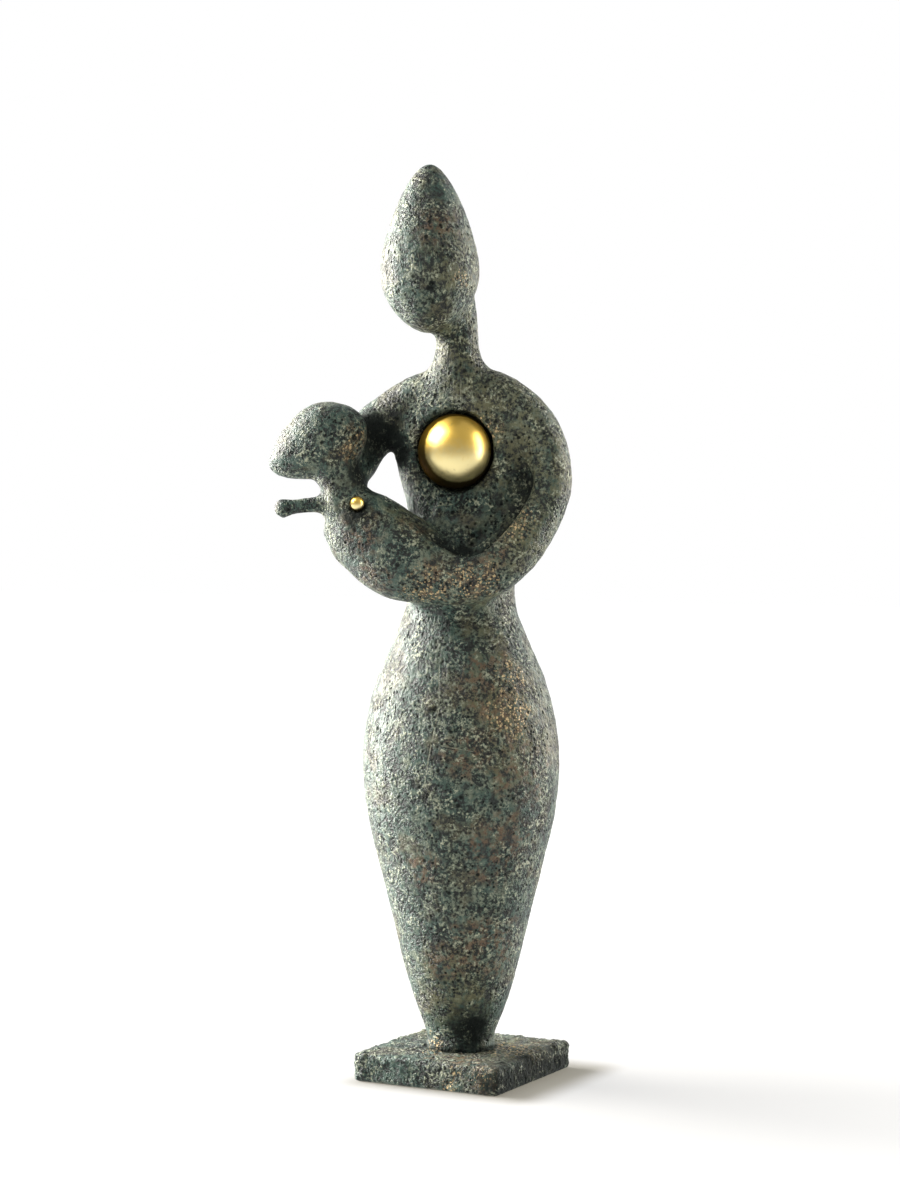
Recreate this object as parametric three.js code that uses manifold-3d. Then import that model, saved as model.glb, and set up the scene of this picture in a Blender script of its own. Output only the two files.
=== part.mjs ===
// Mother and child: a cast bronze statuette in the Cycladic manner on a square plate.
// Millimetres, +Z up, origin at the centre of the plate's underside. The plate's sides
// lie along X and Y, and the mother faces -Y with her shoulders turned a little.

import * as THREE from 'three';
import { LoftGeometry } from 'three/addons/geometries/LoftGeometry.js';
import { mergeVertices } from 'three/addons/utils/BufferGeometryUtils.js';
import Module from 'manifold-3d';

// ---------------------------------------------------------------- driving dimensions

const plateSide = 54;
const plateThickness = 9.2;
const plateCornerRadius = 1.4;
const plateEdgeRadius = 0.9;
const seatingGap = 0.3;

const totalHeight = 300;
const shoulderTurn = THREE.MathUtils.degToRad(12);
const bodyCentre = new THREE.Vector3(-0.6, 0, 0);

const hipHalfWidth = 33;
const hipDepthRatio = 0.88;

const ringCentreHeight = 197.6;
const ringRadius = 29.6;
const armRadius = 8.5;
const elbowHalfWidth = 29.9;
const lapRadius = 13.4;

const motherHead = { radius: 16.4, length: 55, widest: 20, crown: 0.42 };
const motherHeadBase = new THREE.Vector3(-3.8, -15.6, totalHeight - motherHead.length);
const childHead = { radius: 12.3, length: 35, widest: 14, crown: 0.5 };
const childHandRadius = 3.25;

const chestBallRadius = 12.2;
const chestSocketRadius = 13.3;
const childBallRadius = 2.45;
const ballGap = 0.4;

const bronze = { color: 0x4b5650, roughness: 0.5, metalness: 0.6 };
const polishedBrass = { color: 0xd0a43e, roughness: 0.16, metalness: 1 };

// ---------------------------------------------------------------- helpers

const wasm = await Module();
wasm.setup();

const up = new THREE.Vector3(0, 0, 1);

// A point given in the shoulders' own frame, turned into the plate's frame.
function turned(x, y, z) {
  return new THREE.Vector3(x, y, z).applyAxisAngle(up, shoulderTurn).add(bodyCentre);
}

// A closed solid for joining and cutting, from a three.js geometry in its final place.
function solid(geometry) {
  const bare = new THREE.BufferGeometry();
  bare.setAttribute('position', geometry.attributes.position);
  bare.setIndex(geometry.index);
  const merged = mergeVertices(bare, 1e-4);
  return new wasm.Manifold(new wasm.Mesh({
    numProp: 3,
    vertProperties: new Float32Array(merged.attributes.position.array),
    triVerts: new Uint32Array(merged.index.array),
  }));
}

function geometryOf(manifold) {
  const mesh = manifold.getMesh();
  const geometry = new THREE.BufferGeometry();
  geometry.setAttribute('position', new THREE.BufferAttribute(mesh.vertProperties, 3));
  geometry.setIndex(new THREE.BufferAttribute(mesh.triVerts, 1));
  geometry.computeVertexNormals();
  return geometry;
}

// Smooth values between named stations: each station is an array of numbers, and the
// first of them runs steadily from one end of the piece to the other.
function throughStations(stations, steps) {
  const size = stations[0].length;
  const curves = [];
  for (let column = 0; column < size; column += 3) {
    const points = stations.map((row) => new THREE.Vector3(
      row[column],
      row[column + 1] ?? 0,
      row[column + 2] ?? 0,
    ));
    curves.push(new THREE.CatmullRomCurve3(points, false, 'catmullrom', 0.5));
  }
  const rows = [];
  for (let step = 0; step <= steps; step += 1) {
    const values = curves.flatMap((curve) => curve.getPoint(step / steps).toArray());
    rows.push(values.slice(0, size));
  }
  return rows;
}

// A limb: round sections along a smooth centreline, each station being x, y, z, radius.
function limb(stations, steps, sides) {
  const rows = throughStations(stations, steps);
  const line = new THREE.CatmullRomCurve3(rows.map(([x, y, z]) => new THREE.Vector3(x, y, z)));
  const frames = line.computeFrenetFrames(steps, false);
  const sections = rows.map(([x, y, z, radius], index) => {
    const ring = [];
    for (let side = 0; side < sides; side += 1) {
      const angle = (side / sides) * 2 * Math.PI;
      ring.push(new THREE.Vector3(x, y, z)
        .addScaledVector(frames.normals[index], radius * Math.cos(angle))
        .addScaledVector(frames.binormals[index], radius * Math.sin(angle)));
    }
    return ring;
  });
  return new LoftGeometry(sections, { capStart: true, capEnd: true });
}

// An egg standing on its round end, along +Z from its base: a full lower bowl, then
// flanks that draw in to a blunt crown, blunter the nearer its last number is to 1.
function egg({ radius, length, widest, crown }, rings, sides) {
  const bowl = new THREE.CubicBezierCurve(
    new THREE.Vector2(0, 0),
    new THREE.Vector2(0.45 * radius, 0),
    new THREE.Vector2(radius, 0.5 * widest),
    new THREE.Vector2(radius, widest),
  );
  const flank = new THREE.CubicBezierCurve(
    new THREE.Vector2(radius, widest),
    new THREE.Vector2(radius, widest + 0.27 * (length - widest)),
    new THREE.Vector2(crown * radius, length),
    new THREE.Vector2(0, length),
  );
  const profile = [
    ...bowl.getPoints(rings).slice(0, -1),
    ...flank.getPoints(rings + 3),
  ];
  profile[0].x = 0;
  profile[profile.length - 1].x = 0;
  return new THREE.LatheGeometry(profile, sides).rotateX(Math.PI / 2);
}

function ball(radius, centre, sides) {
  return new THREE.SphereGeometry(radius, sides, Math.round(sides * 0.6))
    .rotateX(Math.PI / 2)
    .translate(centre.x, centre.y, centre.z);
}

// ---------------------------------------------------------------- the mother

// Foot, hips, waist, chest and neck in one run of oval sections.
// Each station is height, half width, half depth, how far the centre lies forward and
// to her left, and how square the oval is: 2 is an ellipse.
function trunk() {
  const hip = hipHalfWidth;
  const foot = plateThickness + seatingGap;
  const skirt = [
    [foot, 0.328 * hip],
    [15, 0.352 * hip],
    [24.6, 0.465 * hip],
    [37.9, 0.585 * hip],
    [57.9, 0.735 * hip],
    [77.8, 0.89 * hip],
    [91.2, 0.972 * hip],
    [104.5, hip],
    [117.8, 0.958 * hip],
    [131.1, 0.86 * hip],
    [144.4, 0.684 * hip],
  ].map(([height, half]) => [height, half, hipDepthRatio * half, 0, 0, 2]);
  const torso = [
    [155, 18.6, 15.6, 0, 0, 2],
    [165, 17.2, 12.8, 0, 1, 2.1],
    [176, 18, 11, 0, 2, 2.4],
    [187, 20, 10.6, 0.8, 2.7, 2.8],
    [197, 21.8, 10.6, 1, 2.4, 3.3],
    [207, 23.2, 10.5, 1, 1.3, 3.6],
    [215, 24, 10, 1, 0.4, 3.4],
    [222, 20, 9.5, 1.3, 0, 2.8],
    [228, 14, 8.8, 2, 0, 2.2],
    [234, 9.7, 7.8, 3.2, 0, 2],
    [240, 7.2, 7, 4.2, 0, 2],
    [248, 6.9, 6.9, 4.6, 0, 2],
    [256, 6.6, 6.6, 6.5, 0, 2],
    [262, 5.6, 5.6, 10, 0, 2],
  ];
  const sides = 32;
  const bowed = (value, power) => Math.sign(value) * Math.abs(value) ** power;
  const sections = throughStations([...skirt, ...torso], 42).map((row) => {
    const [height, half, depth, forward, leftward, squareness] = row;
    const ring = [];
    for (let side = 0; side < sides; side += 1) {
      const angle = ((side + 0.5) / sides) * 2 * Math.PI;
      const across = half * bowed(Math.cos(angle), 2 / squareness);
      const along = depth * bowed(Math.sin(angle), 2 / squareness);
      ring.push(turned(across + leftward, along - forward, height));
    }
    return ring;
  });
  return new LoftGeometry(sections, { capStart: true, capEnd: true });
}

// The lap: the rounded end of the forearm, where hand and child's body are one form.
const lapStation = [-25.7, -21.5, 180.4, lapRadius];

function lap() {
  const [x, y, z, radius] = lapStation;
  return ball(radius, turned(x, y, z), 20);
}

// Both arms and the shoulders are one rounded ring. It runs from her right hand at the
// child's back, over the shoulders, round her left elbow and across the waist, and
// swells into the lap that carries the child.
function arms() {
  const around = (degrees, forward) => {
    const angle = THREE.MathUtils.degToRad(degrees);
    const wide = elbowHalfWidth * Math.sin(angle);
    return [wide, -forward, ringCentreHeight + ringRadius * Math.cos(angle), armRadius];
  };
  const stations = [
    [-28.5, -22.5, 182, 0.8 * armRadius],
    [-33.8, -19, 191.2, 0.83 * armRadius],
    [-35.4, -14, 199.6, 0.95 * armRadius],
    [-30.8, -6, 210.8, 0.98 * armRadius],
    [-25.2, -2.3, 216.7, armRadius],
    around(-28, 1),
    around(0, 1),
    around(28, 1),
    around(58, 0.8),
    around(90, 2.6),
    [26.9, -8, 184.6, armRadius],
    [21, -14, 174, 1.06 * armRadius],
    [10.4, -17.5, 166.6, 1.08 * armRadius],
    [-1.6, -19, 167.8, 1.32 * armRadius],
    [-14.8, -20.5, 172.6, 1.07 * lapRadius],
    lapStation,
  ].map(([x, y, z, radius]) => [...turned(x, y, z).toArray(), radius]);
  return limb(stations, 52, 20);
}

// Her head is held forward of the neck and a little towards the child.
function motherHeadForm() {
  const { x, y, z } = motherHeadBase;
  return egg(motherHead, 8, 28).translate(x, y, z);
}

// ---------------------------------------------------------------- the child

const childHeadRoundEnd = new THREE.Vector3(-22.4, -25.4, 217);
const childHeadTip = new THREE.Vector3(-50.4, -40.6, 200.9);
const childHand = new THREE.Vector3(-45.1, -39.2, 188.2);

function childHeadForm() {
  const axis = childHeadTip.clone().sub(childHeadRoundEnd).normalize();
  const lay = new THREE.Quaternion().setFromUnitVectors(up, axis);
  const { x, y, z } = childHeadRoundEnd;
  return egg(childHead, 6, 22).applyQuaternion(lay).translate(x, y, z);
}

function childNeck() {
  return limb([
    [-23.5, -28.5, 180, 10.5],
    [-26, -29.8, 188, 8.2],
    [-28, -30.5, 196, 7.2],
    [-31, -31.5, 203, 8],
    [-33.5, -32.5, 208, 8.5],
  ], 8, 16);
}

function childArm() {
  return limb([
    [-27, -30, 189.4, 4.2],
    [-32.5, -32.8, 189.4, 3.2],
    [-38, -35.6, 189.1, 2.5],
    [childHand.x, childHand.y, childHand.z, 2.4],
  ], 8, 12);
}

// ---------------------------------------------------------------- the assembled pieces

// Each ball lies against the back of its socket, which is a little wider than the ball.
const chestBall = [0.85, -9.4, 206.7];
const chestBallCentre = turned(...chestBall);
const chestSocketCentre = turned(
  chestBall[0],
  chestBall[1] - (chestSocketRadius - chestBallRadius - ballGap),
  chestBall[2],
);
const childBallCentre = new THREE.Vector3(-18.9, -36.7, 189.6);

function figure() {
  const forms = [
    arms(),
    lap(),
    motherHeadForm(),
    childHeadForm(),
    childNeck(),
    childArm(),
    ball(childHandRadius, childHand, 12),
  ];
  const joined = forms.reduce((body, form) => body.add(solid(form)), solid(trunk()));
  return joined
    .subtract(solid(ball(chestSocketRadius, chestSocketCentre, 24)))
    .subtract(solid(ball(childBallRadius + ballGap, childBallCentre, 14)));
}

// A square slab with softened corners and edges, lying on Z = 0.
function basePlate() {
  const half = plateSide / 2 - plateEdgeRadius;
  const corner = plateCornerRadius;
  const outline = new THREE.Shape();
  outline.moveTo(-half + corner, -half);
  outline.lineTo(half - corner, -half);
  outline.absarc(half - corner, -half + corner, corner, -Math.PI / 2, 0);
  outline.lineTo(half, half - corner);
  outline.absarc(half - corner, half - corner, corner, 0, Math.PI / 2);
  outline.lineTo(-half + corner, half);
  outline.absarc(-half + corner, half - corner, corner, Math.PI / 2, Math.PI);
  outline.lineTo(-half, -half + corner);
  outline.absarc(-half + corner, -half + corner, corner, Math.PI, 1.5 * Math.PI);
  return new THREE.ExtrudeGeometry(outline, {
    depth: plateThickness - 2 * plateEdgeRadius,
    curveSegments: 3,
    bevelEnabled: true,
    bevelThickness: plateEdgeRadius,
    bevelSize: plateEdgeRadius,
    bevelSegments: 2,
  }).translate(0, 0, plateEdgeRadius);
}

function piece(name, geometry, finish) {
  const mesh = new THREE.Mesh(geometry, new THREE.MeshStandardMaterial(finish));
  mesh.name = name;
  return mesh;
}

const group = new THREE.Group();
group.add(
  piece('base_plate', geometryOf(solid(basePlate())), bronze),
  piece('figure', geometryOf(figure()), bronze),
  piece('chest_ball', ball(chestBallRadius, chestBallCentre, 24), polishedBrass),
  piece('child_ball', ball(childBallRadius, childBallCentre, 14), polishedBrass),
);

export default group;
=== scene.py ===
"""Mother and child, a cast bronze statuette on a square plate: its surfaces, floor and light.

Everything is in metres, +Z up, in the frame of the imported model.
"""

import math

import bmesh
import bpy
from bpy.props import FloatProperty, FloatVectorProperty, IntProperty, PointerProperty
from bpy.types import Operator, Panel, PropertyGroup
from mathutils import Matrix, Vector, noise
from mathutils.bvhtree import BVHTree
from mathutils.kdtree import KDTree


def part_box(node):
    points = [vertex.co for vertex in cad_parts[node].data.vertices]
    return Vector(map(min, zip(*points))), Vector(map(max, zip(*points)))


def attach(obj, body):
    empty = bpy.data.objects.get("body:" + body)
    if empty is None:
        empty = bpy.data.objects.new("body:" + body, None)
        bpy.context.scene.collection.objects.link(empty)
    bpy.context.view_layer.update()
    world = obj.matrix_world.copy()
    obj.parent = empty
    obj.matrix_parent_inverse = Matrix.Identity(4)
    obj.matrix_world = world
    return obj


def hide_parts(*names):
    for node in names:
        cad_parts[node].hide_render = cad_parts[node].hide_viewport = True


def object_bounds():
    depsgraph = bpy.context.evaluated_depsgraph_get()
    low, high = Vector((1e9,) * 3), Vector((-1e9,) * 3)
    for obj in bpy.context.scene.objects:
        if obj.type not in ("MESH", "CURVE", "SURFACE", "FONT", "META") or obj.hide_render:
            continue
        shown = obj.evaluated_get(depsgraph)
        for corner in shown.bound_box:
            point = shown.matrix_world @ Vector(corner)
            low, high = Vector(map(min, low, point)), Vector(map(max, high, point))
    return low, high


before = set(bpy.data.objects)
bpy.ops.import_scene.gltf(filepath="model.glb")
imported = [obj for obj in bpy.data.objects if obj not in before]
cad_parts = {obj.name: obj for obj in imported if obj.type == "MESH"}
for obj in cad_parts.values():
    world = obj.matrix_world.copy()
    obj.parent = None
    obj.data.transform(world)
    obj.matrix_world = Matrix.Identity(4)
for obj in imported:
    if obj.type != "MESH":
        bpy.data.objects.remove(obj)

bl_info = {
    "name": "Mother and Child Statuette",
    "version": (1, 0, 0),
    "blender": (4, 5, 0),
    "location": "View3D > Sidebar > Statuette",
    "description": "Cast bronze mother and child with polished brass spheres, on its plate",
    "category": "Add Mesh",
}

MM = 0.001
CAD_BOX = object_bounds()
FLOOR_HEIGHT = CAD_BOX[0][2]
BODY = "root"

# Places where the patina differs: centre in mm, then the reach in mm.
OLIVE_PATCHES = (
    (4, -9, 240, 20),
    (20, -5, 226, 24),
    (33, -5, 203, 24),
    (31, -14, 180, 18),
    (12, -20, 266, 16),
    (28, -12, 120, 26),
    (24, -14, 150, 16),
    (-2, -26, 184, 12),
    (6, -17, 30, 16),
    (-6, 22, 120, 40),
    (10, 14, 215, 30),
)
RUST_PATCHES = (
    (19, -17, 132, 14),
    (25, -15, 117, 12),
    (29, -10, 103, 13),
    (15, -25, 111, 12),
    (22, -15, 78, 15),
    (15, -12, 46, 16),
    (2, -18, 40, 8),
    (0, -25, 71, 8),
    (5, -29, 165, 9),
    (18, -23, 166, 9),
    (23, -19, 174, 6),
    (-3, -28, 182, 6),
    (-21, -33, 209, 9),
    (-17, -38, 180, 9),
    (-13, -36, 166, 8),
    (5, -25, 279, 9),
    (-20, 20, 95, 18),
    (14, 22, 62, 16),
)
GILT_PATCHES = (
    (2, -29, 163, 8),
    (15, -24, 164, 8),
    (-21, -33, 209, 7),
    (26, -13, 133, 9),
    (26, -14, 122, 9),
    (13, -7, 213, 6),
    (11, -21, 262, 4),
    (28, -16, 186, 9),
    (-6, -10, 11, 5),
    (0, -29, 161, 7),
    (19, -21, 165, 7),
)
PLATE_RUST_PATCHES = (
    (6, -17, 9, 12),
    (24, -27, 5, 10),
    (14, -20, 9, 9),
    (20, 20, 6, 8),
)
PLATE_GILT_PATCHES = (
    (17, 3, 9, 13),
    (12, -27, 7, 3),
    (22, -27, 6, 4),
    (10, -27, 2, 3),
    (-5, -12, 9, 5),
)
# Painted shade low on the plate's right side, which faces away from the key light: centre in mm,
# then the reach in mm.
PLATE_PAINTED_SHADE_PATCHES = (
    (31, -20, 1, 14),
    (31, -8, 1, 15),
    (31, 4, 1, 15),
    (31, 16, 1, 15),
)
PLATE_OLIVE_PATCHES = (
    (27, 6, 4, 26),
    (16, 2, 9, 16),
    (-20, 20, 9, 18),
)
# Hollows that stay crisp, in mm: the slot between the child's chin and arm, the point of
# the opening over the forearm, and the crease between belly and left arm. The last number
# is how far round each place the corners keep their sharp form.
CRISP_HOLLOWS = (
    (-43, -37.5, 193, 12),
    (-22, -6, 206, 6),
    (24, -8, 191, 6),
    (20.5, -11, 184, 6),
    (16, -15, 178, 6),
    (10, -18, 175.5, 6),
    (4, -20, 178, 5),
    (-3, -22, 182, 5),
    (-14.5, -10.3, 188, 5),
)
# The crease between belly and left arm, from the shoulder down and round to the forearm:
# points on the skin and how deep it is cut, in mm.
CREASE = (
    (20.5, -5, 214, 0),
    (24.3, -3.1, 203.8, 0.6),
    (26.2, -5.3, 195.7, 2.8),
    (23.2, -10.1, 186.6, 4.4),
    (17.5, -17.2, 177.4, 4.4),
    (10.5, -20.6, 175.1, 3.8),
    (3.5, -24, 178.8, 2.2),
    (-1.7, -25.8, 183.1, 1.2),
)
# Where shade is painted dark into the patina: centre in mm, then the reach in mm.
PAINTED_SHADE_PATCHES = (
    (-24, -15, 212, 11),
    (-19, -13, 207, 8),
    (11, -20, 175, 6),
    (5, -22, 178, 5),
    (9, -10, 16, 9),
    (-19, -36, 186, 6),
    (-20, -29, 200, 8),
)
# Lights that the brass spheres don't see, and lights that only they see.
FIGURE_LIGHTS = ("key light", "rim light", "left window", "right window")
SPHERE_LIGHTS = ("left glint", "right glint")
# Blow holes of the casting: centre in mm, radius in mm, depth in mm.
BLOW_HOLES = (
    (4, -28.8, 259.5, 0.9, 1.3),
    (2.8, -27.4, 255.1, 0.9, 1.2),
    (3.6, -27, 123.8, 1.0, 1.4),
    (10.9, -26, 117, 0.8, 0.8),
    (15.7, -25, 107.4, 0.9, 1.0),
    (14.6, -25, 97, 1.0, 0.8),
    (9, -27, 99, 0.8, 0.8),
    (-12, 20, 140, 1.0, 1.2),
    (6, 27, 90, 1.1, 1.0),
)
# Smaller dark pits: centre and radius in mm.
PITS = (
    (4.1, -28.9, 260.1, 1.1),
    (4.3, -28.5, 258.4, 1.3),
    (3.2, -28.9, 258.5, 1.0),
    (4.8, -28.1, 257.4, 1.0),
    (3.3, -26.9, 254.6, 1.4),
    (4.8, -27, 118.3, 0.8),
    (7.4, -27, 118.6, 0.8),
    (9.6, -26, 116.4, 1.0),
    (10.6, -26, 114.6, 0.7),
    (11.6, -26, 118.4, 0.8),
    (13, -25, 95.4, 0.9),
    (12, -25.4, 92.6, 0.9),
    (-15, -37, 171, 0.9),
    (-13.4, -37, 173, 0.7),
)
# Scratches on the skin: start, end and the way the skin faces there, in mm, then the width.
SCRATCHES = (
    ((5.5, -26, 125), (1.3, -28.7, 97.5), (0.1, -1, 0), 0.3),
    ((3.7, -27, 138), (5.3, -26, 125), (0.1, -1, 0), 0.25),
    ((-12.5, -12, 228), (-7, -13, 214), (-0.2, -1, 0.3), 0.22),
    ((-14, -12, 221), (-3, -13, 226), (-0.2, -1, 0.3), 0.2),
    ((-9, -12, 229), (-11, -12, 212), (-0.2, -1, 0.3), 0.2),
    ((6, -26, 112), (17, -24, 110), (0.3, -1, 0), 0.22),
)
SCRATCHED_PATCHES = (
    (-10, -12, 222, 20),
    (-34, -36, 212, 18),
    (0, -28, 265, 14),
)


# ---- settings


def length(name, description, default):
    return FloatProperty(
        name=name, description=description, default=default, min=0.0,
        precision=5, subtype="DISTANCE", unit="LENGTH",
    )


def colour(name, description, default):
    return FloatVectorProperty(
        name=name, description=description, default=default, min=0.0, max=1.0,
        size=3, subtype="COLOR",
    )


def factor(name, description, default):
    return FloatProperty(
        name=name, description=description, default=default, min=0.0, max=1.0,
        subtype="FACTOR",
    )


def angle(name, description, degrees):
    return FloatProperty(
        name=name, description=description, default=math.radians(degrees),
        subtype="ANGLE", unit="ROTATION",
    )


def watts(name, description, default):
    return FloatProperty(name=name, description=description, default=default, min=0.0)


class CastingSettings(PropertyGroup):
    """Sizes of the cast form and of the relief on its skin"""

    fillet: length("Fillet", "Radius that rounds each hollow corner", 3 * MM)
    crisp_fillet: length("Crisp fillet", "The same in the crisp hollows", 0.5 * MM)
    # How far the painted shade of hollows and corners reaches.
    crevice_reach: length("Crevice reach", "How far off a wall still darkens", 15 * MM)
    step: length("Mesh step", "Side of the finished mesh's faces", 0.85 * MM)
    passes: IntProperty(
        name="Smoothing", description="Passes that take out flats", default=20, min=0,
    )
    swell_size: length("Swell size", "Width of the slow waves", 16 * MM)
    swell_height: length("Swell height", "Height of the slow waves", 0.22 * MM)
    lump_size: length("Lump size", "Width of the lumps", 5.5 * MM)
    lump_height: length("Lump height", "Height of the lumps", 0.15 * MM)
    grain_size: length("Grain size", "Width of the coarse grain", 2.6 * MM)
    grain_height: length("Grain height", "Height of the coarse grain", 0.1 * MM)
    crease_width: length("Crease width", "Width of the crease on the arm's side", 2.2 * MM)
    # Width of the painted shade in the crease, on the arm's side.
    crease_shade: length("Crease dirt", "Width of the dirt on the arm's side", 2.9 * MM)
    foot_flare: length("Foot flare", "How far the foot spreads on the plate", 1.2 * MM)
    foot_sink: length("Foot sink", "How far the foot is let into the plate", 1.3 * MM)
    chip_size: length("Chip size", "Width of the plate's broken lumps", 2.4 * MM)
    chip_depth: length("Chip depth", "Depth between the plate's broken lumps", 0.38 * MM)
    corner: length("Plate corner", "Radius of the plate's upright edges", 2.3 * MM)
    rim: length("Plate rim", "Radius of the plate's other edges", 1.3 * MM)


class PatinaSettings(PropertyGroup):
    """Colours and gloss of the patina"""

    ground: colour("Ground", "Dark ground of the patina", (0.008, 0.012, 0.010))
    green: colour("Green", "Main blue green", (0.032, 0.071, 0.054))
    brown: colour("Brown", "Brown bronze that shows through the green", (0.064, 0.062, 0.031))
    worn: colour("Worn", "Grey green where it is worn", (0.120, 0.150, 0.104))
    pale: colour("Pale", "Pale crust on the high grain", (0.41, 0.43, 0.30))
    olive: colour("Olive", "Olive brown stain", (0.100, 0.100, 0.044))
    rust: colour("Rust", "Red brown stain", (0.115, 0.062, 0.028))
    gilt: colour("Gilt", "Bare rubbed bronze", (0.56, 0.42, 0.22))
    gloss: factor("Roughness", "Roughness of the waxed patina", 0.53)


class BrassSettings(PropertyGroup):
    """Form and finish of the polished brass spheres"""

    brass: colour("Brass", "Polished brass", (0.90, 0.58, 0.07))
    # Painted reflection: paler brass low on each sphere, where it would mirror the pale floor, and
    # in smears.
    worn: colour("Worn brass", "Paler brass low on the sphere", (0.84, 0.71, 0.32))
    # Painted dark reflection: brown at the socket and rim, where each sphere would mirror the dark
    # bronze round it, and in brown smear spots. The reach is how far it spreads from the socket
    # wall.
    rim_reflection_and_tarnish: colour("Tarnish", "Brown tarnish near the socket", (0.020, 0.013, 0.004))
    socket_reflection_reach: length("Tarnish reach", "How far the tarnish runs from the socket", 2.4 * MM)
    # Painted dark reflection: past the cap from the pole the brass turns brown.
    pole: FloatVectorProperty(
        name="Pole", description="Way that the middle of each sphere's polish faces",
        default=(0.60, -0.80, 0.12), size=3, subtype="DIRECTION",
    )
    cap: angle("Cap", "Angle from the pole at which the polish turns brown", 61)
    dent_size: length("Dent size", "Width of the hammered dents", 4.5 * MM)
    dent_depth: length("Dent depth", "Depth of the hammered dents", 0.03 * MM)
    polish: factor("Roughness", "Roughness of the polish", 0.35)


class StageSettings(PropertyGroup):
    """The floor, the light and the camera"""

    floor: colour("Floor", "Pale floor", (0.20, 0.20, 0.197))
    edge_glow: factor("Edge glow", "White light of the floor at the plate's edge", 0.16)
    near_glow: factor("Near glow", "White light of the floor round the figure", 0.53)
    glow: factor("Glow", "White light of the floor away from the figure", 0.93)
    bounce: factor("Bounce", "Light that the floor round the figure throws on it", 0.76)
    aim: FloatVectorProperty(
        name="Aim", description="Point that the camera looks at",
        default=(-0.0063, 0.0029, 0.1576), size=3, subtype="XYZ", unit="LENGTH",
    )
    distance: length("Distance", "From the aim to the camera", 0.915)
    azimuth: angle("Azimuth", "How far round to her left the camera stands", 28.5)
    elevation: angle("Elevation", "How far the camera looks down", 2.0)
    lens: FloatProperty(name="Lens", description="Focal length in mm", default=82.5, min=10.0)
    key: watts("Key light", "Watts of the large light on the left", 48.0)
    rim: watts("Rim light", "Watts of the light on the right", 1.25)
    window: watts("Windows", "Watts of the left window, which are twice the right one's", 3.6)
    glint: watts("Glints", "Watts of the left glint, which are twice the right one's", 15.0)
    warmth: colour("Warmth", "Colour of the lights", (1.0, 0.965, 0.915))
    sky: factor("Surround", "Brightness of the room in front of the figure", 0.42)


# ---- meshes


def placed(name, data):
    """A new object in the scene."""
    thing = bpy.data.objects.new(name, data)
    bpy.context.scene.collection.objects.link(thing)
    return thing


def opened(mesh):
    """A form to work on, with the mesh in it."""
    form = bmesh.new()
    form.from_mesh(mesh)
    return form


def closed(form, mesh):
    """Writes a form to its mesh and gives the mesh back."""
    form.to_mesh(mesh)
    form.free()
    return mesh


def merged_copy(node):
    """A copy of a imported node's mesh with its loose triangles joined."""
    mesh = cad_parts[node].data.copy()
    mesh.materials.clear()
    form = opened(mesh)
    bmesh.ops.remove_doubles(form, verts=form.verts, dist=1e-6)
    return closed(form, mesh)


def skin_of(node):
    """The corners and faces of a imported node."""
    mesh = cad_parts[node].data
    return [vert.co for vert in mesh.vertices], [face.vertices[:] for face in mesh.polygons]


def remeshed(mesh, step):
    """A mesh rebuilt from even faces whose sides are about one step."""
    work = placed("work", mesh)
    modifier = work.modifiers.new("Remesh", "REMESH")
    modifier.mode = "VOXEL"
    modifier.voxel_size = step
    graph = bpy.context.evaluated_depsgraph_get()
    made = bpy.data.meshes.new_from_object(work.evaluated_get(graph), depsgraph=graph)
    bpy.data.objects.remove(work)
    bpy.data.meshes.remove(mesh)
    return made


def grown(mesh, reach):
    """Moves a mesh outward along its normals. reach(point) is how far."""
    form = opened(mesh)
    move_out(form, reach)
    return closed(form, mesh)


def move_out(form, reach):
    """Moves each point of a form along its normal by reach(point)."""
    moves = [(vert, vert.normal * reach(vert.co)) for vert in form.verts]
    for vert, move in moves:
        vert.co += move


def smoothstep(value, low, high):
    share = min(1.0, max(0.0, (value - low) / (high - low)))
    return share * share * (3 - 2 * share)


def smooth(form, passes):
    """Takes out flats and steps. Each pass inward has one outward that keeps the volume."""
    inward = 0.5
    outward = -0.53
    for _ in range(passes):
        for amount in (inward, outward):
            bmesh.ops.smooth_vert(
                form, verts=form.verts, factor=amount,
                use_axis_x=True, use_axis_y=True, use_axis_z=True,
            )


def skin_relief(point, casting):
    """Height of the cast skin over the smooth form at a point."""
    swell = noise.noise(point / casting.swell_size)
    lumps = noise.fractal(point / casting.lump_size, 1.0, 2.0, 2)
    grain = noise.fractal(point / casting.grain_size + Vector((7, 3, 5)), 0.8, 2.0, 2)
    return (
        casting.swell_height * swell
        + casting.lump_height * lumps
        + casting.grain_height * grain
    )


def chipped_relief(point, casting):
    """Height of the plate's coarser skin: broken lumps with sharp hollows between them."""
    place = point / casting.chip_size
    bend = noise.noise_vector(place * 0.7) * 0.6
    lumps = 1 - 2.4 * abs(noise.noise(place + bend))
    finer = 1 - 2.4 * abs(noise.noise(place * 2.1 + bend))
    broken = min(0.0, lumps - 0.5) + 0.5 * min(0.0, finer - 0.5)
    return 1.3 * skin_relief(point, casting) - casting.chip_depth * (0.5 + broken)


def through_points(points, steps):
    """Points close together on a smooth curve through the given ones."""
    route = []
    padded = [points[0], *points, points[-1]]
    for before, start, end, after in zip(padded, padded[1:], padded[2:], padded[3:]):
        for step in range(steps):
            share = step / steps
            route.append(0.5 * (
                2 * start + (end - before) * share
                + (2 * before - 5 * start + 4 * end - after) * share**2
                + (3 * start - before - 3 * end + after) * share**3
            ))
    return route


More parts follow.
